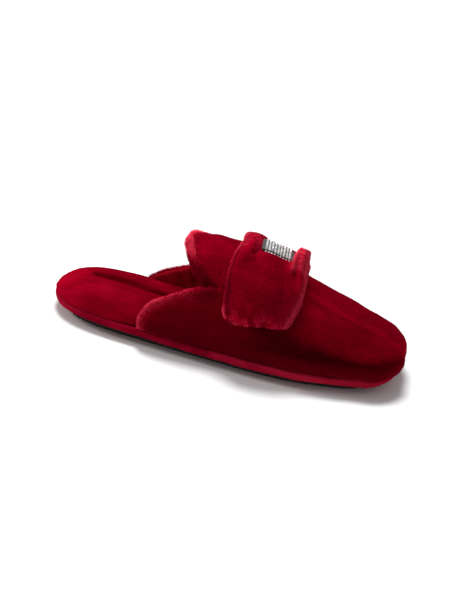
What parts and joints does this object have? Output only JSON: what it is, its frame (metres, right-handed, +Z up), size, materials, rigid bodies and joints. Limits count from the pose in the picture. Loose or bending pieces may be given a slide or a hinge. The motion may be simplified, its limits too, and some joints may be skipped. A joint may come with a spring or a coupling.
{
  "type": "slide slipper",
  "caption": "Closed-toe, open-back padded slide slipper with a plush bow across the instep, velour footbed and wrapped rim on a ribbed rubber sole.",
  "frame": {"origin": "centre of the bounding box in plan, on the floor under the sole", "axes": "+X from heel to toe, +Y to the medial side, +Z up"},
  "size_m": [0.2688, 0.1186, 0.0909],
  "materials": {
    "rubber": "matte moulded rubber",
    "rim_velour": "short velour wrapped over the rim",
    "footbed_velour": "short velour over padding",
    "plush": "short dense plush pile",
    "bow_plush": "short dense plush pile",
    "stones": "rows of small cut stones on a dark strip"
  },
  "bodies": {
    "root": {"outsole": "rubber", "midsole": "rim_velour", "insole": "footbed_velour", "upper": "plush", "bow_loop_lateral": "bow_plush", "bow_loop_medial": "bow_plush", "bow_band": "stones"}
  },
  "joints": []
}
